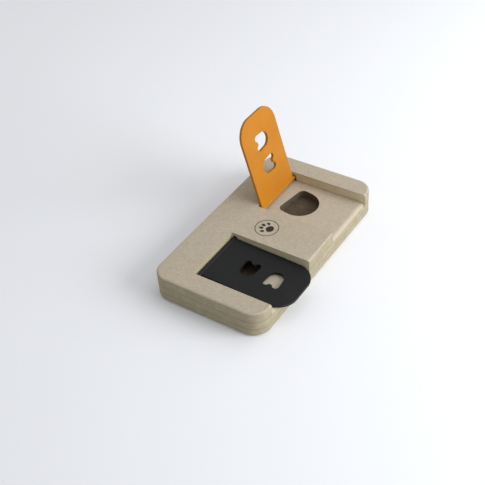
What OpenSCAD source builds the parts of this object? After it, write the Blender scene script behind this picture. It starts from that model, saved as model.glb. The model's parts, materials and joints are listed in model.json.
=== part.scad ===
/* [Board] */
// Width of the board, from the closed long side to the open long side
board_w = 172; // [160:1:200]
// Length of the board
board_l = 310; // [290:1:360]
// Thickness of the bottom layer
base_t = 12; // [11:0.5:18]
// Thickness of the middle layer
middle_t = 12; // [9:0.5:16]
// Thickness of the top layer
top_t = 15; // [13:0.5:18]
// Radius of the four corners, seen from above
board_corner_r = 24; // [12:1:26]
// Rounding of the top and bottom outer edges
board_edge_r = 3; // [1:0.5:4]

/* [Flap bays] */
// Width of the strip between a bay and its end of the board
end_w = 29.5; // [25:0.5:35]
// Gap between a flap's long edge and its bay's side wall
flap_side_gap = 4.5; // [3:0.5:6]
// Gap between the black flap and the bar between the bays, which it sits nearer to
black_bar_gap = 1; // [0.5:0.25:3]
// Distance from the bays' hinge wall to the closed long side
back_w = 49.8; // [44:0.2:60]
// Radius of the bays' two inner corners
bay_corner_r = 2; // [1:0.25:2.25]
// Rounding of the bay floor's edge at the open long side
floor_edge_r = 8; // [3:0.5:8.5]

/* [Treat wells] */
// Length of a treat well's straight side
well_l = 56; // [44:1:60]
// Width of a treat well, across its straight side
well_w = 47; // [40:1:54]
// Radius of the two corners of the straight side
well_corner_r = 9; // [5:1:12]
// Distance from the hinge wall to the middle of a well
well_from_wall = 44.5; // [40:0.5:60]
// How far a well's middle lies off the middle of its bay
well_off = 2; // [0:0.5:4]
// Turn of a well about its middle, in degrees
well_turn = 10; // [0:1:20]

/* [Flaps] */
// Width of a flap
flap_w = 84; // [76:1:88]
// Thickness of a flap
flap_t = 4; // [3.5:0.5:5]
// Length of a flap from its hinge axis to its free end
flap_reach = 132.5; // [126:0.5:145]
// Radius of the two corners of the free end
flap_corner_r = 28; // [10:1:34]
// Rounding of a flap's long edges
flap_edge_r = 1; // [0.5:0.25:1.5]

/* [Flap cutouts] */
// Width of a cutout, measured along the flap
cutout_w = 24.5; // [22:0.5:28]
// How much the dome of a cutout is narrower than its foot, on each side
cutout_flare = 1; // [0.5:0.25:2]
// Height of a cutout, measured across the flap
cutout_h = 28; // [25:0.5:34]
// Radius of the two lobes at the foot of a cutout
cutout_lobe_r = 5; // [4:0.5:6]
// Depth of the notch between the lobes
cutout_notch = 4; // [3:0.5:5]
// Distance from the hinge axis to the cutout near the hinge
cutout_near = 51; // [46:0.5:60]
// Distance between the middles of the two cutouts
cutout_pitch = 39; // [32:0.5:44]

/* [Hinges] */
// Distance from the hinge wall to a hinge axis
axis_from_wall = 4.6; // [4:0.1:6]
// Height of a hinge axis above the middle layer
axis_above_middle = 6.3; // [5.5:0.1:7.5]
// Diameter of a hinge pin
pin_d = 3; // [2:0.5:3.5]
// Length of a hinge pin
pin_l = 26; // [22:1:30]
// How far a hinge pin ends short of its bush's outer end
pin_end_gap = 1; // [0.5:0.25:2]
// Diameter of a flap's round hinge edge, which ends in the two ears
ear_d = 5.6; // [5:0.2:6.4]
// Gap between an ear and its bush
ear_gap = 0.3; // [0.3:0.1:0.5]
// Width of a hinge bush
bush_w = 8; // [7:0.5:9]
// Length of a hinge bush
bush_l = 10; // [9:0.5:12]
// Radial clearance between a pin and its bush
pin_clearance = 0.05; // [0.03:0.01:0.1]
// Clearance around a bush in its pocket
bush_clearance = 0.1; // [0.05:0.05:0.3]
// Gap between a flap and whatever it rests on
rest_gap = 0.2; // [0.1:0.05:0.4]

/* [Feet and links] */
// Diameter of a rubber foot
foot_d = 18; // [12:1:24]
// Thickness of a rubber foot
foot_t = 3; // [2.5:0.5:4]
// How far a foot stands out below the board
foot_out = 1; // [0.5:0.5:2]
// Distance from a foot's middle to each side of the board
foot_inset = 24; // [20:1:34]
// Clearance around a foot in its recess
foot_clearance = 0.2; // [0.1:0.1:0.4]
// Diameter of a socket for the peg of a link between two boards
socket_d = 8; // [5:0.5:10]
// Depth of a link socket
socket_depth = 9; // [6:0.5:10]
// Distance from a link socket's middle to the long side
socket_inset = 12; // [10:0.5:16]

/* [Hidden] */
$fn = 96;
overcut = 1;

// Signs of x and y on which the four corners of a slab lie, in quarter turns
QUARTERS = [[1, 1], [-1, 1], [-1, -1], [1, -1]];

wood = "#b3a88f";
orange = "#d98a2c";
black = "#2b2d2c";
steel = "#b9bcc0";
nylon = "#1d1c1a";
rubber = "#3a3a3a";

// Heights of the layers' faces above the underside of the board
middle_z = base_t;
top_z = middle_z + middle_t;
board_z = top_z + top_t;

// Bays: hinge wall, open side and middle lines
open_x = board_w / 2;
wall_x = -board_w / 2 + back_w;
bay_w = flap_w + 2 * flap_side_gap;
bay_y = board_l / 2 - end_w - bay_w / 2;

// Hinge axis, and the two angles at which a flap meets the board
axis_x = wall_x + axis_from_wall;
axis_z = top_z + axis_above_middle;
sill_dx = open_x - floor_edge_r - axis_x;
sill_dz = axis_z - (top_z - floor_edge_r);
sill_reach = sqrt(sill_dx * sill_dx + sill_dz * sill_dz);
closed_drop = atan2(sill_dz, sill_dx) - asin((flap_t / 2 + floor_edge_r + rest_gap) / sill_reach);
stop_rise = board_z - axis_z;
stop_reach = sqrt(axis_from_wall * axis_from_wall + stop_rise * stop_rise);
open_angle = atan2(axis_from_wall, stop_rise) + acos((flap_t / 2 + rest_gap) / stop_reach);

// Pins and ears, measured from a flap's middle line
ear_end = bay_w / 2 - ear_gap;
pin_end = bay_w / 2 + bush_l - pin_end_gap;

// Feet: distance from the board's middle lines
foot_x = board_w / 2 - foot_inset;
foot_y = board_l / 2 - foot_inset;

// Rectangle with its upper and its lower corners rounded by their own radii
module edge_profile(w, h, upper_r, lower_r) {
    side = max(upper_r, lower_r);
    translate([-w / 2 + side, 0]) square([w - 2 * side, h]);
    translate([-w / 2, lower_r]) square([w, h - upper_r - lower_r]);
    for (s = [-1, 1]) {
        rounded_end(s * w / 2, s, upper_r, side, h - upper_r);
        rounded_end(s * w / 2, s, lower_r, side, lower_r);
    }
}

// Round of radius r whose outer side touches x, and the filling up to the middle part
module rounded_end(x, s, r, side, y) {
    if (r > 0) {
        translate([x - s * r, y]) circle(r);
    }
    if (r > 0 && side > r) {
        translate([s > 0 ? x - side : x + r, y - r]) square([side - r, 2 * r]);
    }
}

// Quarter of a round corner, made by turning half of an edge profile about the corner's axis
module quarter_corner(quarter, r, h, upper_r, lower_r) {
    rotate(90 * quarter) rotate_extrude(angle = 90) intersection() {
        edge_profile(2 * r, h, upper_r, lower_r);
        square([r, h]);
    }
}

// Rectangular slab, centred in x and y, with round corners and rounded edges
module slab(w, l, h, corner_r, upper_r, lower_r) {
    translate([0, l / 2 - corner_r, 0]) rotate([90, 0, 0]) linear_extrude(l - 2 * corner_r)
        edge_profile(w, h, upper_r, lower_r);
    translate([-w / 2 + corner_r, 0, 0]) rotate([90, 0, 90]) linear_extrude(w - 2 * corner_r)
        edge_profile(l, h, upper_r, lower_r);
    for (q = [0 : 3])
        translate([QUARTERS[q][0] * (w / 2 - corner_r), QUARTERS[q][1] * (l / 2 - corner_r), 0])
            quarter_corner(q, corner_r, h, upper_r, lower_r);
}

// Rectangle from x0 to x1, centred in y, with all four corners rounded
module round_rect(x0, x1, w, r) {
    translate([x0 + r, -w / 2]) square([x1 - x0 - 2 * r, w]);
    translate([x0, -w / 2 + r]) square([x1 - x0, w - 2 * r]);
    for (x = [x0 + r, x1 - r], s = [-1, 1])
        translate([x, s * (w / 2 - r)]) circle(r);
}

// Outline of a bay, open past the board's long side
module bay_outline() {
    round_rect(wall_x, open_x + bay_corner_r + overcut, bay_w, bay_corner_r);
}

module at_bays() {
    for (s = [-1, 1]) translate([0, s * bay_y, 0]) children();
}

// D-shaped well outline about its own middle, with its straight side towards the hinge
module well_outline() {
    bow_r = well_l / 2;
    translate([well_w / 2 - bow_r, 0]) intersection() {
        circle(bow_r);
        translate([0, -bow_r]) square([bow_r, well_l]);
    }
    round_rect(-well_w / 2, well_w / 2 - bow_r + well_corner_r, well_l, well_corner_r);
}

// Cuts the sharp edge of the bay floor to a round one
module floor_edge_cut() {
    translate([open_x - floor_edge_r, 0, top_z - floor_edge_r]) rotate([90, 0, 0])
        linear_extrude(bay_w, center = true) difference() {
            square(floor_edge_r + overcut);
            circle(floor_edge_r);
        }
}

module base_board() {
    color(wood) difference() {
        slab(board_w, board_l, base_t, board_corner_r, 0, board_edge_r);
        for (sx = [-1, 1], sy = [-1, 1]) translate([sx * foot_x, sy * foot_y, -foot_out])
            cylinder(d = foot_d + 2 * foot_clearance, h = foot_t);
        for (s = [-1, 1]) translate([s * (board_w / 2 - socket_inset), 0, -overcut])
            cylinder(d = socket_d, h = socket_depth + overcut);
    }
}

module middle_board() {
    color(wood) difference() {
        translate([0, 0, middle_z]) slab(board_w, board_l, middle_t, board_corner_r, 0, 0);
        at_bays() {
            floor_edge_cut();
            translate([wall_x + well_from_wall, well_off, middle_z - overcut]) rotate(-well_turn)
                linear_extrude(middle_t + 2 * overcut) well_outline();
        }
    }
}

// Top layer: two bays cut right through, and the bushes' pockets milled from below
module top_board() {
    color(wood) difference() {
        translate([0, 0, top_z]) slab(board_w, board_l, top_t, board_corner_r, board_edge_r, 0);
        at_bays() {
            translate([0, 0, top_z - overcut]) linear_extrude(top_t + 2 * overcut) bay_outline();
            for (s = [-1, 1]) at_end(s) bush_shape(bush_clearance, overcut);
        }
    }
}

// Places what is drawn for the far end of a hinge at either end
module at_end(s) {
    if (s > 0) {
        children();
    } else {
        mirror([0, 1, 0]) children();
    }
}

// Bush outline with a round top, grown by a clearance, from the bay's side wall outwards
module bush_shape(grow, below) {
    r = bush_w / 2 + grow;
    translate([axis_x, bay_w / 2 + bush_l + grow, axis_z]) rotate([90, 0, 0])
        linear_extrude(bush_l + grow) {
            circle(r);
            translate([-r, -axis_above_middle - below]) square([2 * r, axis_above_middle + below]);
        }
}

module bush(bay, end) {
    color(nylon) translate([0, bay * bay_y, 0]) at_end(end) difference() {
        bush_shape(0, 0);
        translate([axis_x, bay_w / 2 - overcut, axis_z]) rotate([-90, 0, 0])
            cylinder(d = pin_d + 2 * pin_clearance, h = bush_l + 2 * overcut);
    }
}

// Flap panel lying flat, from the hinge axis on the y axis to the free end
module flap_panel() {
    r = flap_edge_r;
    translate([0, 0, -flap_t / 2]) {
        translate([flap_reach - flap_corner_r, flap_w / 2 - flap_corner_r, 0]) rotate([90, 0, 0])
            linear_extrude(flap_w - 2 * flap_corner_r) edge_profile(2 * flap_corner_r, flap_t, r, r);
        rotate([90, 0, 90]) linear_extrude(flap_reach - flap_corner_r) edge_profile(flap_w, flap_t, r, r);
        for (q = [0, 3])
            translate([flap_reach - flap_corner_r, QUARTERS[q][1] * (flap_w / 2 - flap_corner_r), 0])
                quarter_corner(q, flap_corner_r, flap_t, r, r);
    }
}

// Bell-shaped cutout about its own middle, dome upwards and two lobes at the foot
module cutout_outline() {
    dome_r = cutout_w / 2 - cutout_flare;
    dome_y = cutout_h / 2 - dome_r;
    lobe_x = cutout_w / 2 - cutout_lobe_r;
    lobe_y = -cutout_h / 2 + cutout_lobe_r;
    notch_y = -cutout_h / 2 + cutout_notch;
    translate([0, dome_y]) circle(dome_r);
    for (s = [-1, 1]) translate([s * lobe_x, lobe_y]) circle(cutout_lobe_r);
    polygon([
        [-dome_r, dome_y], [-cutout_w / 2, lobe_y], [-lobe_x, lobe_y],
        [-lobe_x + cutout_lobe_r / 2, notch_y], [lobe_x - cutout_lobe_r / 2, notch_y],
        [lobe_x, lobe_y], [cutout_w / 2, lobe_y], [dome_r, dome_y]
    ]);
}

// Flap about its hinge axis: panel, round hinge edge, pin bores and two cutouts that face opposite ways.
// The panel and its cutouts may sit off the bay's middle line
module flap_shape(off) {
    difference() {
        union() {
            translate([0, off, 0]) flap_panel();
            rotate([90, 0, 0]) cylinder(d = ear_d, h = 2 * ear_end, center = true);
        }
        for (s = [-1, 1]) at_end(s) translate([0, pin_end - pin_l, 0]) rotate([-90, 0, 0])
            cylinder(d = pin_d, h = pin_l + overcut);
        translate([cutout_near, off, -flap_t]) rotate(180)
            linear_extrude(2 * flap_t) cutout_outline();
        translate([cutout_near + cutout_pitch, off, -flap_t])
            linear_extrude(2 * flap_t) cutout_outline();
    }
}

// Puts a flap or a pin on its hinge axis, raised by an angle from the level
module on_hinge(bay, raised) {
    translate([axis_x, bay * bay_y, axis_z]) rotate([0, -raised, 0]) children();
}

module orange_flap() {
    color(orange) on_hinge(1, open_angle) flap_shape(0);
}

module black_flap() {
    color(black) on_hinge(-1, -closed_drop) flap_shape(flap_side_gap - black_bar_gap);
}

module pin(bay, end) {
    color(steel) on_hinge(bay, 0) at_end(end) translate([0, pin_end - pin_l, 0])
        rotate([-90, 0, 0]) cylinder(d = pin_d, h = pin_l);
}

module foot(sx, sy) {
    color(rubber) translate([sx * foot_x, sy * foot_y, -foot_out])
        cylinder(d = foot_d, h = foot_t);
}

base_board();
middle_board();
top_board();
orange_flap();
black_flap();
pin(1, -1);  // orange_pin_near
pin(1, 1);  // orange_pin_far
pin(-1, -1);  // black_pin_near
pin(-1, 1);  // black_pin_far
bush(1, -1);  // orange_bush_near
bush(1, 1);  // orange_bush_far
bush(-1, -1);  // black_bush_near
bush(-1, 1);  // black_bush_far
foot(-1, -1);  // foot_front_left
foot(1, -1);  // foot_front_right
foot(-1, 1);  // foot_back_left
foot(1, 1);  // foot_back_right
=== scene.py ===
import json
import math

import bmesh
import bpy
from mathutils import Matrix, Vector


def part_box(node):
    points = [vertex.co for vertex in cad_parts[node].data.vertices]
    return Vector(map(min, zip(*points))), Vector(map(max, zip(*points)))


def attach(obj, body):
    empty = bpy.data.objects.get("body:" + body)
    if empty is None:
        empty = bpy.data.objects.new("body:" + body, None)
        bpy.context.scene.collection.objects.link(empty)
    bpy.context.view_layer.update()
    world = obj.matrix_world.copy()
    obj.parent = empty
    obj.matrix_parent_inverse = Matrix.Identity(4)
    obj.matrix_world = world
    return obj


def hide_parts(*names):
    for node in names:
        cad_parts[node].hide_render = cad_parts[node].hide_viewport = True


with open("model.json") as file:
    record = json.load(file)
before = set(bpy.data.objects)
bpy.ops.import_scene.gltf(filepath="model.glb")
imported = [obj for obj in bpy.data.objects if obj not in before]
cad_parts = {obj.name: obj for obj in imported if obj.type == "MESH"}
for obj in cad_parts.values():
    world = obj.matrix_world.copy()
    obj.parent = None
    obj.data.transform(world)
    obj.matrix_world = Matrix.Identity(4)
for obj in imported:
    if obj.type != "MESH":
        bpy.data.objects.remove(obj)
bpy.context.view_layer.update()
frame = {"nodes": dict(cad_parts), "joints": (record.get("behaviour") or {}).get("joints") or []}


# ---------------------------------------------------------------- places in the frame, in metres

MM = 0.001
# Half the board's width and length, and the heights of its two glue joints and its top. The upper joint is
# also the level of the bays' floor.
HALF_WIDTH, HALF_LENGTH, BASE_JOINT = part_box("base_board")[1]
MIDDLE_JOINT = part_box("middle_board")[1].z
BOARD_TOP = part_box("top_board")[1].z
# Both flaps turn about the same line.
HINGE_X, _, HINGE_Z = frame["joints"][0]["pos_m"]
# Radius of the board's corners in plan, and width of the wall between a bay and the board's end.
BOARD_CORNER = 24.0 * MM
END_WALL = 29.5 * MM
BAYS_END = HALF_LENGTH - END_WALL
# The floor lies a hair under the feet, so that no two faces share a plane.
FLOOR_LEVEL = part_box("foot_front_left")[0].z - 0.05 * MM
FEET = ("foot_front_left", "foot_front_right", "foot_back_left", "foot_back_right")


# ---------------------------------------------------------------- camera

# Direction from the object to the camera, and the camera's roll, in degrees.
AZIMUTH, ELEVATION, ROLL = 36.41, 41.03, -4.94
# The point that the camera measures its distance from, and where it falls in the square picture.
AIM = Vector((0.0, 0.0, 0.020))
AIM_PX = Vector((267.49, 237.51))
DISTANCE = 1.310
FRAME_PX = 485
FOCAL_PX = 942.8
SENSOR_MM = 36.0
CLIP_START, CLIP_END = 0.05, 20.0


def camera_axes():
    """Right, up and back vectors of the camera, with its roll."""
    az, el, roll = (math.radians(v) for v in (AZIMUTH, ELEVATION, ROLL))
    back = Vector((math.sin(az) * math.cos(el), -math.cos(az) * math.cos(el), math.sin(el)))
    level = Vector((math.cos(az), math.sin(az), 0.0))
    upright = back.cross(level)
    right = level * math.cos(roll) + upright * math.sin(roll)
    return right, back.cross(right), back


def add_camera():
    """Moved sideways until AIM falls on AIM_PX, so that the lens needs no shift."""
    right, up, back = camera_axes()
    off = (AIM_PX - Vector((FRAME_PX / 2, FRAME_PX / 2))) * DISTANCE / FOCAL_PX
    place = AIM + back * DISTANCE - right * off.x + up * off.y
    data = bpy.data.cameras.new("camera")
    data.sensor_width = SENSOR_MM
    data.lens = FOCAL_PX / FRAME_PX * SENSOR_MM
    data.clip_start, data.clip_end = CLIP_START, CLIP_END
    camera = bpy.data.objects.new("camera", data)
    camera.matrix_world = Matrix.Translation(place) @ Matrix((right, up, back)).transposed().to_4x4()
    bpy.context.scene.collection.objects.link(camera)
    bpy.context.scene.camera = camera


# ---------------------------------------------------------------- node helpers

class Shader:
    """A material with short calls for the nodes that its pattern is made of."""

    def __init__(self, name, metallic=0.0, gloss=0.5):
        self.material = bpy.data.materials.new(name)
        self.material.use_nodes = True
        self.tree = self.material.node_tree
        self.nodes = self.tree.nodes
        self.surface = self.nodes["Principled BSDF"]
        self.surface.inputs["Metallic"].default_value = metallic
        self.surface.inputs["Specular IOR Level"].default_value = gloss
        self.place = self.nodes.new("ShaderNodeTexCoord").outputs["Object"]
        self.facing = self.nodes.new("ShaderNodeTexCoord").outputs["Normal"]

    def put(self, value, socket):
        """Links a socket, or sets a plain value."""
        if isinstance(value, bpy.types.NodeSocket):
            self.tree.links.new(value, socket)
        else:
            socket.default_value = value

    def stretched(self, scale, turn=(0, 0, 0)):
        """The place on the object, turned by degrees and then scaled."""
        node = self.nodes.new("ShaderNodeMapping")
        node.inputs["Rotation"].default_value = [math.radians(t) for t in turn]
        node.inputs["Scale"].default_value = scale
        self.put(self.place, node.inputs["Vector"])
        return node.outputs["Vector"]

    def noise(self, scale, detail, roughness=0.55, place=None):
        """Soft noise about 0.5, with scale patches to a metre."""
        node = self.nodes.new("ShaderNodeTexNoise")
        node.inputs["Scale"].default_value = scale
        node.inputs["Detail"].default_value = detail
        node.inputs["Roughness"].default_value = roughness
        self.put(place or self.place, node.inputs["Vector"])
        return node.outputs["Fac"]

    def calc(self, operation, a, b=0.0):
        """One step of arithmetic on two values."""
        node = self.nodes.new("ShaderNodeMath")
        node.operation = operation
        self.put(a, node.inputs[0])
        self.put(b, node.inputs[1])
        return node.outputs[0]

    def fold(self, operation, values):
        """The same step over all of the values, from the first on."""
        total = values[0]
        for value in values[1:]:
            total = self.calc(operation, total, value)
        return total

    def total(self, *values):
        return self.fold("ADD", values)

    def product(self, *values):
        return self.fold("MULTIPLY", values)

    def largest(self, *values):
        return self.fold("MAXIMUM", values)

    def minus(self, a, b):
        return self.calc("SUBTRACT", a, b)

    def absolute(self, a):
        return self.calc("ABSOLUTE", a)

    def hypot(self, a, b):
        return self.calc("SQRT", self.total(self.product(a, a), self.product(b, b)))

    def spread(self, value, low, high, to_low=0.0, to_high=1.0):
        """Maps low..high of a value to to_low..to_high, clamped, with soft ends."""
        node = self.nodes.new("ShaderNodeMapRange")
        node.interpolation_type = "SMOOTHSTEP"
        self.put(value, node.inputs["Value"])
        node.inputs["From Min"].default_value = low
        node.inputs["From Max"].default_value = high
        node.inputs["To Min"].default_value = to_low
        node.inputs["To Max"].default_value = to_high
        return node.outputs["Result"]

    def rise(self, value, low, high, top=1.0):
        """0 under low and top over high."""
        return self.spread(value, low, high, 0.0, top)

    def fall(self, value, low, high, top=1.0):
        """top under low and 0 over high."""
        return self.spread(value, low, high, top, 0.0)

    def axis(self, vector, name):
        node = self.nodes.new("ShaderNodeSeparateXYZ")
        self.put(vector, node.inputs[0])
        return node.outputs[name]

    def mix(self, amount, a, b):
        node = self.nodes.new("ShaderNodeMix")
        node.data_type = "RGBA"
        self.put(amount, node.inputs["Factor"])
        self.put(a, node.inputs["A"])
        self.put(b, node.inputs["B"])
        return node.outputs["Result"]

    def bump(self, height, depth, strength):
        node = self.nodes.new("ShaderNodeBump")
        node.inputs["Strength"].default_value = strength
        node.inputs["Distance"].default_value = depth
        self.put(height, node.inputs["Height"])
        return node.outputs["Normal"]

    def finish(self, colour, roughness, normal=None):
        """Joins the pattern to the surface, and gives the material."""
        self.put(colour, self.surface.inputs["Base Color"])
        self.put(roughness, self.surface.inputs["Roughness"])
        if normal is not None:
            self.put(normal, self.surface.inputs["Normal"])
        return self.material


STROKE_SOFTNESS = 0.07


def strokes(s, length_mm, width_mm, turns, keep):
    """Short thin marks in a few directions: 1 where a mark lies, 0 between. A higher keep leaves fewer."""
    marks = []
    for i, turn in enumerate(turns):
        scale = (1 / length_mm, 1 / width_mm, 1 / width_mm)
        place = s.stretched(scale, turn=(17 * i, 11 * i, turn))
        marks.append(s.rise(s.noise(1 / MM, 1.0, 0.4, place), keep, keep + STROKE_SOFTNESS))
    return s.largest(*marks)


def line_at(s, value, middle, half_width, soft):
    """1 within half_width of a value, falling to 0 over soft."""
    return s.fall(s.absolute(s.minus(value, middle)), half_width, half_width + soft)


def rgb(red, green, blue):
    """A colour given as 0..255 screen values, turned to linear light."""
    def linear(v):
        v /= 255.0
        return v / 12.92 if v <= 0.04045 else ((v + 0.055) / 1.055) ** 2.4
    return (linear(red), linear(green), linear(blue), 1.0)


# ---------------------------------------------------------------- fibreboard

FACE_WARM, FACE_COOL = rgb(188, 176, 154), rgb(183, 175, 156)
FACE_PALE, FACE_RED = rgb(204, 193, 171), rgb(186, 158, 130)
FIBRE_DARK, FIBRE_LIGHT = rgb(128, 106, 78), rgb(224, 212, 188)
# Sawn outer edge colours, darker than the walls' partly as painted shade.
EDGE_LIGHT, EDGE_DARK, GLUE = rgb(166, 157, 132), rgb(145, 135, 109), rgb(106, 92, 68)
# Routed wall colours, paler partly as painted light. WALL_SHADE is painted shade on the walls, and also the
# colour of the wells' light flecks.
WALL_LIGHT, WALL_DARK, WALL_SHADE = rgb(214, 203, 174), rgb(196, 184, 154), rgb(156, 143, 117)
# Well colours: raw board, darker still as painted shade.
SHADED_RAW_LIGHT, SHADED_RAW_DARK = rgb(98, 85, 67), rgb(70, 60, 48)

# Soft borders of the board's zones, each from its lower end to its upper end. The first two are gaps from the
# outline, the next two places along and across the board, and the others heights.
RIM = (-3.4 * MM, -1.2 * MM)
MIDST = (-12.0 * MM, -10.0 * MM)
PAST_BAYS = (BAYS_END + 1.0 * MM, BAYS_END + 3.5 * MM)
HINGE_WALL = (HINGE_X - 4.0 * MM, HINGE_X - 3.0 * MM)
OVER_BASE = (5.0 * MM, 8.0 * MM)
UNDER_BAYS = (MIDDLE_JOINT - 1.1 * MM, MIDDLE_JOINT - 0.35 * MM)
BAY_FLOOR = (MIDDLE_JOINT + 0.3 * MM, MIDDLE_JOINT + 1.0 * MM)
WALL_FOOT = (MIDDLE_JOINT + 0.5 * MM, MIDDLE_JOINT + 2.6 * MM)
# Lines at a height: the middle of the one under the top edge, and each line's half width and soft border.
TOP_LINE = BOARD_TOP - 1.0 * MM
TOP_LINE_WIDTH = (0.25 * MM, 0.9 * MM)
GLUE_WIDTH = (0.12 * MM, 0.5 * MM)
BOARD_RELIEF = 0.11 * MM


class Grain:
    """Noise that the fibreboard's colours and relief share, from 80 mm clouds down to 1 mm grains."""

    def __init__(self, s):
        self.cloud = s.noise(13.0, 3.0, 0.55)
        self.mottle = s.noise(120.0, 4.0, 0.62)
        self.tint = s.noise(310.0, 3.0, 0.6)
        self.fine = s.noise(1000.0, 3.0, 0.7)
        self.dark = strokes(s, 2.4, 0.28, (8, 67, 128), 0.655)
        self.light = strokes(s, 3.2, 0.25, (31, 97, 153), 0.665)
        self.bundles = strokes(s, 5.0, 0.9, (20, 75, 140), 0.66)
        # Hair-thin sanding lines along the board, layered fibres in a sawn edge, and upright cutter marks.
        self.sanding = s.noise(1.0, 3.0, 0.6, s.stretched((2600.0, 34.0, 2600.0), turn=(0, 0, 4)))
        self.flow = s.noise(1.0, 4.0, 0.62, s.stretched((70.0, 70.0, 1300.0)))
        self.chatter = s.noise(1.0, 2.0, 0.5, s.stretched((850.0, 850.0, 26.0)))


def outline_gap(s):
    """Signed distance from the board's outline in plan, negative inside."""
    x = s.minus(s.absolute(s.axis(s.place, "X")), HALF_WIDTH - BOARD_CORNER)
    y = s.minus(s.absolute(s.axis(s.place, "Y")), HALF_LENGTH - BOARD_CORNER)
    far = s.hypot(s.largest(x, 0.0), s.largest(y, 0.0))
    near = s.calc("MINIMUM", s.largest(x, y), 0.0)
    return s.minus(s.total(far, near), BOARD_CORNER)


def board_zones(s, height):
    """0..1 each: on an upright face, on the sawn outer edge, on a routed wall, and in a well."""
    gap = outline_gap(s)
    upright = s.fall(s.absolute(s.axis(s.facing, "Z")), 0.35, 0.85)
    rim = s.rise(gap, *RIM)
    # The bays' side walls reach the rim too, but they face along Y and lie between the end walls.
    turned = s.rise(s.absolute(s.axis(s.facing, "X")), 0.3, 0.7)
    past_bays = s.rise(s.absolute(s.axis(s.place, "Y")), *PAST_BAYS)
    edge = s.product(upright, rim, s.largest(turned, past_bays))
    well = s.product(s.fall(gap, *MIDST), s.fall(height, *UNDER_BAYS), s.rise(height, *OVER_BASE))
    return upright, edge, s.minus(upright, edge), well


def face_colour(s, grain, height):
    """Sanded and sealed face, flecked with fibres, and a little paler on the bays' floor as painted light."""
    colour = s.mix(s.rise(grain.cloud, 0.3, 0.7), FACE_WARM, FACE_COOL)
    colour = s.mix(s.rise(grain.mottle, 0.34, 0.68, 0.36), colour, FACE_PALE)
    colour = s.mix(s.rise(grain.tint, 0.50, 0.72, 0.55), colour, FACE_RED)
    colour = s.mix(s.fall(grain.fine, 0.28, 0.62, 0.26), colour, FIBRE_DARK)
    colour = s.mix(s.product(grain.dark, 0.56), colour, FIBRE_DARK)
    colour = s.mix(s.product(grain.light, 0.44), colour, FIBRE_LIGHT)
    colour = s.mix(s.product(grain.bundles, 0.26), colour, FIBRE_DARK)
    colour = s.mix(s.rise(grain.sanding, 0.45, 0.75, 0.10), colour, FACE_PALE)
    # Painted light: the bays' floor is made paler than the top face.
    return s.mix(s.fall(height, *BAY_FLOOR, 0.12), colour, FIBRE_LIGHT)


def edge_colour(s, grain, height):
    """Sawn outer edge: darker, partly as painted shade, layered, with a glue line between the layers of the
    board.
    """
    colour = s.mix(s.rise(grain.flow, 0.30, 0.72), EDGE_LIGHT, EDGE_DARK)
    colour = s.mix(s.rise(grain.mottle, 0.40, 0.70, 0.12), colour, FIBRE_LIGHT)
    colour = s.mix(s.fall(grain.fine, 0.28, 0.60, 0.30), colour, FIBRE_DARK)
    colour = s.mix(s.rise(grain.chatter, 0.5, 0.75, 0.16), colour, EDGE_DARK)
    for joint in (BASE_JOINT, MIDDLE_JOINT):
        squeezed_out = s.spread(grain.mottle, 0.3, 0.55, 0.35, 0.7)
        glue = s.product(line_at(s, height, joint, *GLUE_WIDTH), squeezed_out)
        colour = s.mix(glue, colour, GLUE)
    return colour


def wall_colour(s, grain, height):
    """Routed walls of the bays: pale, partly as painted light; darker behind the hinges and along their foot
    as painted shade, and darker under the top edge.
    """
    colour = s.mix(s.rise(grain.flow, 0.33, 0.70), WALL_LIGHT, WALL_DARK)
    colour = s.mix(s.rise(grain.chatter, 0.48, 0.72, 0.30), colour, WALL_DARK)
    colour = s.mix(s.fall(grain.fine, 0.28, 0.60, 0.30), colour, FIBRE_DARK)
    # Painted shade on the wall behind the hinges and in the corner along the wall's foot.
    hinge_wall_shade = s.fall(s.axis(s.place, "X"), *HINGE_WALL, 0.62)
    foot = s.fall(height, *WALL_FOOT, 0.42)
    colour = s.mix(s.largest(foot, hinge_wall_shade), colour, WALL_SHADE)
    top_line = line_at(s, height, TOP_LINE, *TOP_LINE_WIDTH)
    return s.mix(s.product(top_line, 0.30), colour, WALL_SHADE)


def well_colour(s, grain):
    """Unsealed fibreboard in the treat wells, matte, and darkened further as painted shade."""
    # Painted shade: the wells' colours are darker than raw board.
    colour = s.mix(s.spread(grain.mottle, 0.3, 0.7, 0.15, 0.75), SHADED_RAW_LIGHT, SHADED_RAW_DARK)
    return s.mix(s.product(grain.light, 0.5), colour, WALL_SHADE)


def board_relief(s, grain, cut):
    """Fine grain all over, with fuzz and cutter marks where the board is cut."""
    fuzz = s.product(s.noise(2600.0, 2.0, 0.6), cut)
    marks = s.product(s.total(s.product(grain.chatter, 1.4), s.product(grain.flow, 1.2)), cut)
    face = s.minus(s.total(s.product(grain.fine, 0.6), s.product(grain.sanding, 0.35)),
                   s.product(grain.dark, 0.4))
    return s.bump(s.total(face, s.total(fuzz, marks)), BOARD_RELIEF, 0.55)


def fibreboard():
    """Sealed fibreboard: a flecked face with painted light on the bays' floor, a sawn edge with glue lines
    and painted shade, routed walls with painted light and shade, and raw wells darkened with painted shade.
    """
    s = Shader("fibreboard", gloss=0.30)
    height = s.axis(s.place, "Z")
    upright, edge, wall, well = board_zones(s, height)
    grain = Grain(s)
    colour = s.mix(edge, face_colour(s, grain, height), edge_colour(s, grain, height))
    colour = s.mix(wall, colour, wall_colour(s, grain, height))
    colour = s.mix(well, colour, well_colour(s, grain))
    cut = s.largest(upright, well)
    sealed = s.spread(grain.fine, 0.3, 0.7, 0.50, 0.66)
    raw = s.spread(grain.fine, 0.3, 0.7, 0.74, 0.88)
    return s.finish(colour, s.mix(cut, sealed, raw), board_relief(s, grain, cut))


# ---------------------------------------------------------------- other materials

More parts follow.
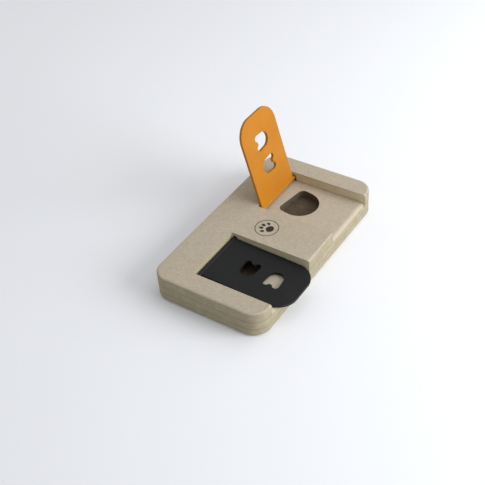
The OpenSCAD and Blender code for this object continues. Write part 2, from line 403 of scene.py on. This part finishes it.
STEEL_LIGHT, STEEL_DARK = rgb(196, 196, 198), rgb(150, 150, 152)
RUBBER_DARK, RUBBER_LIGHT, DUST = rgb(36, 36, 36), rgb(54, 53, 51), rgb(96, 92, 86)
INK_DARK, INK_LIGHT, INK_WORN = rgb(33, 31, 30), rgb(48, 45, 42), rgb(150, 140, 120)
PAPER_DARK, PAPER_LIGHT = (0.935, 0.945, 0.968, 1.0), (0.95, 0.96, 0.982, 1.0)
# Distances from the hinge between which the flaps' scuffs grow to their full number.
UNTOUCHED, HANDLED = 45.0 * MM, 128.0 * MM


def moulded(name, body, shade, scuff, roughness, gloss, grain_scale):
    """Moulded plastic: faint cloudiness, fine grain, and hairline scuffs that grow towards the free end."""
    s = Shader(name, gloss=gloss)
    cloud = s.noise(20.0, 4.0, 0.6)
    speck = s.noise(900.0, 2.0, 0.6)
    reach = s.hypot(s.minus(s.axis(s.place, "X"), HINGE_X), s.minus(s.axis(s.place, "Z"), HINGE_Z))
    handled = s.spread(reach, UNTOUCHED, HANDLED, 0.25)
    hair = s.product(strokes(s, 16.0, 0.16, (12, 41, 83, 140), 0.70), handled)
    patch = s.product(s.rise(s.noise(55.0, 4.0, 0.65), 0.50, 0.72), handled)
    colour = s.mix(s.rise(cloud, 0.3, 0.7), body, shade)
    colour = s.mix(s.fall(speck, 0.3, 0.62, 0.16), colour, shade)
    colour = s.mix(s.product(patch, 0.07), colour, scuff)
    colour = s.mix(s.product(hair, 0.20), colour, scuff)
    rough = s.spread(cloud, 0.3, 0.7, roughness - 0.04, roughness + 0.04)
    rough = s.minus(s.total(rough, s.product(patch, 0.10)), s.product(hair, 0.12))
    grain = s.minus(s.noise(grain_scale, 2.0, 0.5), s.product(hair, 0.8))
    return s.finish(colour, rough, s.bump(grain, 0.04 * MM, 0.6))


def drawn_steel():
    """Bright steel with fine lines along the pins."""
    s = Shader("drawn_steel", metallic=1.0)
    lines = s.noise(1.0, 3.0, 0.6, s.stretched((9000.0, 300.0, 9000.0)))
    colour = s.mix(s.rise(lines, 0.3, 0.7), STEEL_LIGHT, STEEL_DARK)
    return s.finish(colour, s.spread(lines, 0.3, 0.7, 0.2, 0.36), s.bump(lines, 0.01 * MM, 0.4))


def rubber():
    """Matte black rubber with some dust on it."""
    s = Shader("foot_rubber")
    speckle = s.noise(1800.0, 2.0, 0.6)
    dust = s.rise(s.noise(260.0, 4.0, 0.65), 0.48, 0.75, 0.45)
    colour = s.mix(s.rise(speckle, 0.3, 0.7), RUBBER_DARK, RUBBER_LIGHT)
    colour = s.mix(dust, colour, DUST)
    return s.finish(colour, s.spread(speckle, 0.3, 0.7, 0.7, 0.9), s.bump(speckle, 0.05 * MM, 0.5))


def ink():
    """Screen ink that lets the fibreboard's flecks show through here and there."""
    s = Shader("screen_ink", gloss=0.28)
    specks = s.rise(s.noise(1500.0, 3.0, 0.7), 0.60, 0.74)
    patches = s.rise(s.noise(420.0, 3.0, 0.6), 0.64, 0.76)
    worn = s.largest(specks, patches)
    colour = s.mix(s.noise(260.0, 2.0), INK_DARK, INK_LIGHT)
    colour = s.mix(s.product(worn, 0.55), colour, INK_WORN)
    rough = s.spread(worn, 0.0, 1.0, 0.58, 0.75)
    return s.finish(colour, rough, s.bump(s.noise(1300.0, 2.0), 0.02 * MM, 0.5))


def floor_paper():
    """Nearly white paper with a faint bluish unevenness."""
    s = Shader("floor_paper")
    return s.finish(s.mix(s.noise(3.0, 2.0), PAPER_DARK, PAPER_LIGHT), 0.9)


BOARD = fibreboard()
ORANGE = moulded("orange_plastic", body=rgb(180, 115, 18), shade=rgb(173, 108, 15), scuff=rgb(194, 131, 44),
                 roughness=0.56, gloss=0.18, grain_scale=2200.0)
BLACK = moulded("black_plastic", body=rgb(17, 19, 18), shade=rgb(13, 15, 14), scuff=rgb(78, 80, 80),
                roughness=0.58, gloss=0.32, grain_scale=1900.0)
NYLON = moulded("bush_nylon", body=rgb(36, 34, 31), shade=rgb(28, 27, 25), scuff=rgb(70, 68, 66),
                roughness=0.5, gloss=0.32, grain_scale=2600.0)
STEEL = drawn_steel()
RUBBER = rubber()
INK = ink()


def finish_of(node):
    """A CAD node's finish, which its name tells."""
    for word, finish in (("board", BOARD), ("pin", STEEL), ("bush", NYLON), ("foot", RUBBER)):
        if word in node:
            return finish
    return ORANGE if "orange" in node else BLACK


def dress_nodes():
    """Gives each CAD node its finish."""
    for name, node in frame["nodes"].items():
        node.data.materials.clear()
        node.data.materials.append(finish_of(name))


# ---------------------------------------------------------------- turned pieces

def add_piece(name, mesh, finish, body="board"):
    """A piece of the object that is made here and moves with a body of the frame."""
    mesh.materials.append(finish)
    piece = bpy.data.objects.new(name, mesh)
    bpy.context.scene.collection.objects.link(piece)
    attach(piece, body)
    return piece


def turns_of(count):
    """Even turns of a full circle, in radians."""
    return [2 * math.pi * i / count for i in range(count)]


def mesh_of(shape, name):
    """Turns the faces outwards, and makes the mesh."""
    bmesh.ops.recalc_face_normals(shape, faces=shape.faces)
    mesh = bpy.data.meshes.new(name)
    shape.to_mesh(mesh)
    shape.free()
    return mesh


def lathed(name, profile, centre, segments, lying=False):
    """A closed solid turned about centre's upright or Y line. Its profile is (radius, place on that line)."""
    shape = bmesh.new()
    rings = []
    for radius, along in profile:
        turns = turns_of(segments if radius > 0 else 1)
        circle = [(radius * math.cos(t), radius * math.sin(t)) for t in turns]
        if lying:
            places = [(centre[0] + u, along, centre[2] + v) for u, v in circle]
        else:
            places = [(centre[0] + u, centre[1] + v, along) for u, v in circle]
        rings.append([shape.verts.new(place) for place in places])
    for lower, upper in zip(rings, rings[1:]):
        for i in range(segments):
            j = (i + 1) % segments
            corners = [lower[i % len(lower)], lower[j % len(lower)]]
            corners += [upper[j % len(upper)], upper[i % len(upper)]]
            # A ring of one point gives the same corner twice, so its faces are triangles.
            shape.faces.new(dict.fromkeys(corners))
    mesh = mesh_of(shape, name)
    mesh.shade_smooth()
    return mesh


# Radii of a foot's two grooves, half of a groove's width at its mouth and at its floor, and its depth.
FOOT_GROOVES = (3.6 * MM, 6.0 * MM)
GROOVE_MOUTH, GROOVE_FLOOR, GROOVE_DEPTH = 0.55 * MM, 0.30 * MM, 0.38 * MM
# Rounding of a foot's lower and upper rim.
LOWER_RIM, UPPER_RIM = 0.5 * MM, 0.2 * MM
FOOT_SEGMENTS, PIN_SEGMENTS = 72, 48


def arc(x, z, radius, start, end, steps=6):
    """Points on an arc about (x, z), from start to end in degrees."""
    turns = [math.radians(start + (end - start) * k / steps) for k in range(steps + 1)]
    return [(x + radius * math.cos(t), z + radius * math.sin(t)) for t in turns]


def foot_profile(low, high, radius):
    """A ribbed rubber foot: rounded rims, two concentric grooves and a dimple in its underside."""
    points = [(0.0, low + 0.35 * MM), (1.2 * MM, low + 0.30 * MM), (1.7 * MM, low)]
    for middle in FOOT_GROOVES:
        points += [(middle - GROOVE_MOUTH, low), (middle - GROOVE_FLOOR, low + GROOVE_DEPTH),
                   (middle + GROOVE_FLOOR, low + GROOVE_DEPTH), (middle + GROOVE_MOUTH, low)]
    points += arc(radius - LOWER_RIM, low + LOWER_RIM, LOWER_RIM, -90, 0)
    points += arc(radius - UPPER_RIM, high - UPPER_RIM, UPPER_RIM, 0, 90)
    return points + [(0.0, high)]


def add_feet():
    """A ribbed foot in the place of each plain one."""
    for foot in FEET:
        low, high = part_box(foot)
        profile = foot_profile(low.z, high.z, (high.x - low.x) / 2)
        mesh = lathed(foot, profile, (low + high) / 2, FOOT_SEGMENTS)
        piece = add_piece(foot + "_ribbed", mesh, RUBBER)
        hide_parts(foot)


def pin_profile(low, high, radius):
    """A turned hinge pin: chamfered ends, each with a shallow groove behind it."""
    chamfer = [(0.0, 0.0), (radius - 0.35 * MM, 0.0), (radius - 0.28 * MM, 0.03 * MM), (radius, 0.42 * MM)]
    groove = [(radius, 2.90 * MM), (radius - 0.12 * MM, 3.05 * MM), (radius - 0.12 * MM, 3.35 * MM),
              (radius, 3.50 * MM)]
    # One more ring keeps the groove's smooth shading off the rest of the pin.
    half = chamfer + groove + [(radius, 6.0 * MM)]
    return [(r, low + along) for r, along in half] + [(r, high - along) for r, along in reversed(half)]


def add_pins():
    """A turned pin in the place of each plain one. It moves with its flap."""
    for colour in ("orange", "black"):
        for end in ("near", "far"):
            pin = f"{colour}_pin_{end}"
            low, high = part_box(pin)
            profile = pin_profile(low.y, high.y, (high.x - low.x) / 2)
            mesh = lathed(pin, profile, (low + high) / 2, PIN_SEGMENTS, lying=True)
            piece = add_piece(pin + "_turned", mesh, STEEL, colour + "_flap_body")
            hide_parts(pin)


# ---------------------------------------------------------------- the generic mark on the bar

MARK_MIDDLE = Vector((1.0 * MM, -1.5 * MM))
# The ink reaches a little into the board, so that it has no gap below.
INK_LOW, INK_HIGH = BOARD_TOP - 0.02 * MM, BOARD_TOP + 0.04 * MM
# The drawing is in mm about its middle.
RING_IN, RING_OUT = 15.9, 17.0
# Middle, half width, half height and outward lean in degrees of the inner and the outer toe of one side.
TOES = ((3.2, 7.3, 2.25, 3.3, 8), (8.7, 2.4, 2.05, 3.0, 30))
TOE_TAPER = 0.12
PAD_HALF_WIDTH, PAD_HALF_HEIGHT, PAD_TAPER, PAD_TIP, PAD_LOWERED = 6.4, 5.0, 0.24, 1.2, 4.2
RING_POINTS, PAD_POINTS, TOE_POINTS = 120, 60, 36


def marked(points):
    """Points of the drawing, its top towards the hinge wall, moved to their place on the bar."""
    return [(MARK_MIDDLE.x - y * MM, MARK_MIDDLE.y + x * MM) for x, y in points]


def add_band(shape, lower, upper):
    """Faces between two rows of as many points, each a closed loop."""
    for i in range(len(lower)):
        j = (i + 1) % len(lower)
        shape.faces.new((lower[i], lower[j], upper[j], upper[i]))


def add_plate(shape, outline):
    """A thin closed plate of ink over a plain outline."""
    low = [shape.verts.new((x, y, INK_LOW)) for x, y in marked(outline)]
    high = [shape.verts.new((x, y, INK_HIGH)) for x, y in marked(outline)]
    shape.faces.new(low)
    shape.faces.new(high)
    add_band(shape, low, high)


def add_ring(shape):
    """A thin closed ring of ink."""
    section = ((RING_IN, INK_LOW), (RING_OUT, INK_LOW), (RING_OUT, INK_HIGH), (RING_IN, INK_HIGH))
    rims = []
    for radius, height in section:
        circle = marked([(radius * math.cos(t), radius * math.sin(t)) for t in turns_of(RING_POINTS)])
        rims.append([shape.verts.new((x, y, height)) for x, y in circle])
    for rim, next_rim in zip(rims, rims[1:] + rims[:1]):
        add_band(shape, rim, next_rim)


def toe(x, y, half_width, half_height, lean):
    """Outline of an egg-shaped toe, narrower at its tip."""
    cos_lean, sin_lean = math.cos(math.radians(lean)), math.sin(math.radians(lean))
    points = []
    for t in turns_of(TOE_POINTS):
        u = half_width * math.cos(t) * (1.0 - TOE_TAPER * math.sin(t))
        v = half_height * math.sin(t)
        points.append((x + u * cos_lean + v * sin_lean, y - u * sin_lean + v * cos_lean))
    return points


def pad():
    """Outline of the broad pad: round above, and drawn out to a blunt tip below its two small shoulders."""
    points = []
    for t in turns_of(PAD_POINTS):
        x = PAD_HALF_WIDTH * math.cos(t) * (1.0 - PAD_TAPER * math.sin(t))
        tip = PAD_TIP * math.cos(2 * t) if math.sin(t) < 0 else 0.0
        points.append((x, PAD_HALF_HEIGHT * math.sin(t) + tip - PAD_LOWERED))
    return points


def add_mark():
    """A plain paw print in a thin ring."""
    shape = bmesh.new()
    add_ring(shape)
    add_plate(shape, pad())
    for side in (-1, 1):
        for x, y, half_width, half_height, lean in TOES:
            add_plate(shape, toe(side * x, y, half_width, half_height, side * lean))
    add_piece("printed_mark", mesh_of(shape, "printed_mark"), INK)


# ---------------------------------------------------------------- floor and light

# Half the length of the floor's sides, in metres.
FLOOR_HALF = 12.0
WORLD_COLOUR, WORLD_STRENGTH = (0.97, 0.98, 1.0, 1.0), 0.46
WHITE, COOL_WHITE = (1.0, 1.0, 1.0), (0.965, 0.99, 1.035)
# Round soft boxes: name, place and diameter in metres, power in watts, and colour.
LIGHTS = (
    ("key", (1.78, 0.36, 0.66), 1.6, 39.5, COOL_WHITE),
    ("overhead", (0.25, 0.45, 1.3), 1.4, 2.9, WHITE),
    ("back", (0.45, 0.95, 0.62), 1.1, 2.1, WHITE),
    ("fill", (-1.7, 0.4, 0.9), 1.6, 3.0, WHITE),
)


def add_floor():
    """A plain floor, which isn't part of the object."""
    signs = ((-1, -1), (1, -1), (1, 1), (-1, 1))
    corners = [(x * FLOOR_HALF, y * FLOOR_HALF, FLOOR_LEVEL) for x, y in signs]
    mesh = bpy.data.meshes.new("floor")
    mesh.from_pydata(corners, [], [(0, 1, 2, 3)])
    mesh.materials.append(floor_paper())
    floor = bpy.data.objects.new("floor", mesh)
    bpy.context.scene.collection.objects.link(floor)


def add_light(name, place, size, watts, colour):
    """A round soft box that faces the middle of the board."""
    data = bpy.data.lights.new(name, "AREA")
    data.shape = "DISK"
    data.size = size
    data.energy = watts
    data.color = colour
    lamp = bpy.data.objects.new(name, data)
    lamp.location = place
    lamp.rotation_euler = Vector(place).to_track_quat("Z", "Y").to_euler()
    bpy.context.scene.collection.objects.link(lamp)


def add_world():
    """Even light from all around."""
    world = bpy.data.worlds.new("studio")
    world.use_nodes = True
    background = world.node_tree.nodes["Background"]
    background.inputs["Color"].default_value = WORLD_COLOUR
    background.inputs["Strength"].default_value = WORLD_STRENGTH
    bpy.context.scene.world = world


# ---------------------------------------------------------------- the scene

add_camera()
dress_nodes()
add_feet()
add_pins()
add_mark()
add_floor()
for light in LIGHTS:
    add_light(*light)
add_world()
bpy.context.scene.view_settings.view_transform = "Standard"
